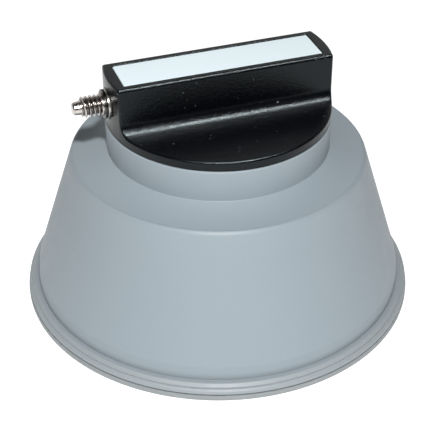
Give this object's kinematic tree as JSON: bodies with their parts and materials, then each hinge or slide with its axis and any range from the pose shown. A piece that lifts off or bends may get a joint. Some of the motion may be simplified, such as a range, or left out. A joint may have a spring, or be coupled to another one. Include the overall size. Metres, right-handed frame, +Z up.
{
  "type": "bar-handled snoot cup",
  "caption": "Hollow flared bell cup that turns under a round cap with a bar handle, with a threaded side stud and a soft edge ring.",
  "frame": {"origin": "centre of the underside of the rim's edge ring, which is the bottom centre of the bounding box", "axes": "+Z up along the bell's axis towards the handle; X along the bar handle, the side stud points towards -X"},
  "size_m": [0.12, 0.12, 0.0771],
  "materials": {
    "cup_grey": "matte moulded, fine grain, light cool grey",
    "lip_grey": "soft matte, a little paler than the bell",
    "handle_black": "fine spark-eroded texture, satin black",
    "label_pale": "smooth, very pale blue-grey, blank",
    "adhesive_white": "clear to white film",
    "glide_white": "natural acetal",
    "seal_black": "soft black",
    "bush_bronze": "turned bronze",
    "insert_brass": "turned brass",
    "zinc_steel": "bright zinc plate",
    "spring_steel": "oiled spring steel",
    "stud_nickel": "bright nickel plate",
    "collar_dark": "dark nickel"
  },
  "bodies": {
    "bell": {"cup_shell": "cup_grey", "lip_ring": "lip_grey", "backing_plate": "zinc_steel", "plate_screws": "zinc_steel"},
    "handle": {"handle_body": "handle_black", "label_plate": "label_pale", "label_adhesive": "adhesive_white", "glide_ring": "glide_white", "neck_seal": "seal_black", "pivot_bush": "bush_bronze", "centre_insert": "insert_brass", "centre_bolt": "zinc_steel", "disc_spring": "spring_steel", "flat_washer": "zinc_steel", "lock_washer": "spring_steel", "stud_insert": "insert_brass", "stud_seal": "seal_black"},
    "washer": {"stud_washer": "stud_nickel"},
    "stud": {"side_stud": "stud_nickel", "stud_collar": "collar_dark"}
  },
  "joints": [
    {"name": "handle_turn", "type": "hinge", "parent": "bell", "child": "handle", "pos_m": [0, 0, 0.06], "axis": [0, 0, 1], "continuous": true},
    {"name": "stud_travel", "type": "slide", "parent": "handle", "child": "washer", "axis": [-1, 0, 0], "range_m": [0, 0.00762]},
    {"name": "stud_turn", "type": "hinge", "parent": "washer", "child": "stud", "pos_m": [-0.0331, 0, 0.069], "axis": [-1, 0, 0], "range_deg": [0, 2160.5]}
  ],
  "couplings": [
    {"joint": "stud_turn", "follows": "stud_travel", "rad_per_m": 4947.4}
  ]
}
